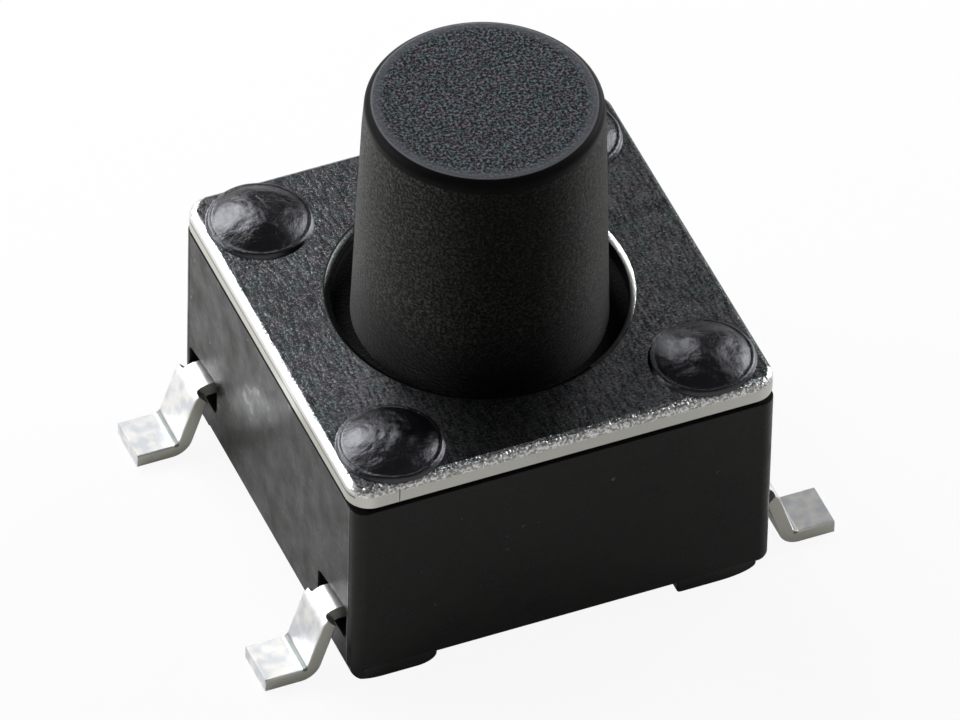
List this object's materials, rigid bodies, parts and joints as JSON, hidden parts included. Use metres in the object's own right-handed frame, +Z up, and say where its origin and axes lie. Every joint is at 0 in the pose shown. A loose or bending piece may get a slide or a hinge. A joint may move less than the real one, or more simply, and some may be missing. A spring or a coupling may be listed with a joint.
{
  "type": "tactile push button switch",
  "caption": "Square surface-mount tactile switch with a tall round push button, a steel cover plate and gull-wing solder leads.",
  "frame": {"origin": "middle of the footprint, on the plane that the solder feet stand on", "axes": "+Z up along the button's axis, +X across the two sides that carry the leads, +Y towards the centre terminal's pair of leads"},
  "size_m": [0.0082, 0.006, 0.0069],
  "materials": {
    "base_plastic": "moulded black, satin sides and glossy melted post heads",
    "button_plastic": "moulded black with a fine spark-eroded grain",
    "plated_copper": "silver plated, satin, with bare sheared edges",
    "spring_steel": "stainless spring strip, satin",
    "cover_steel": "stamped sheet with a dark slate top and a bare rolled edge"
  },
  "bodies": {
    "housing": {"base": "base_plastic", "centre_terminal": "plated_copper", "outer_terminal": "plated_copper", "snap_dome": "spring_steel", "cover_plate": "cover_steel"},
    "plunger": {"button": "button_plastic"}
  },
  "joints": [
    {"name": "button_press", "type": "slide", "parent": "housing", "child": "plunger", "axis": [0, 0, -1], "range_m": [0, 0.00025], "stiffness_N_per_m": 6000, "springref_m": -0.00005, "deforming": ["snap_dome"]}
  ]
}
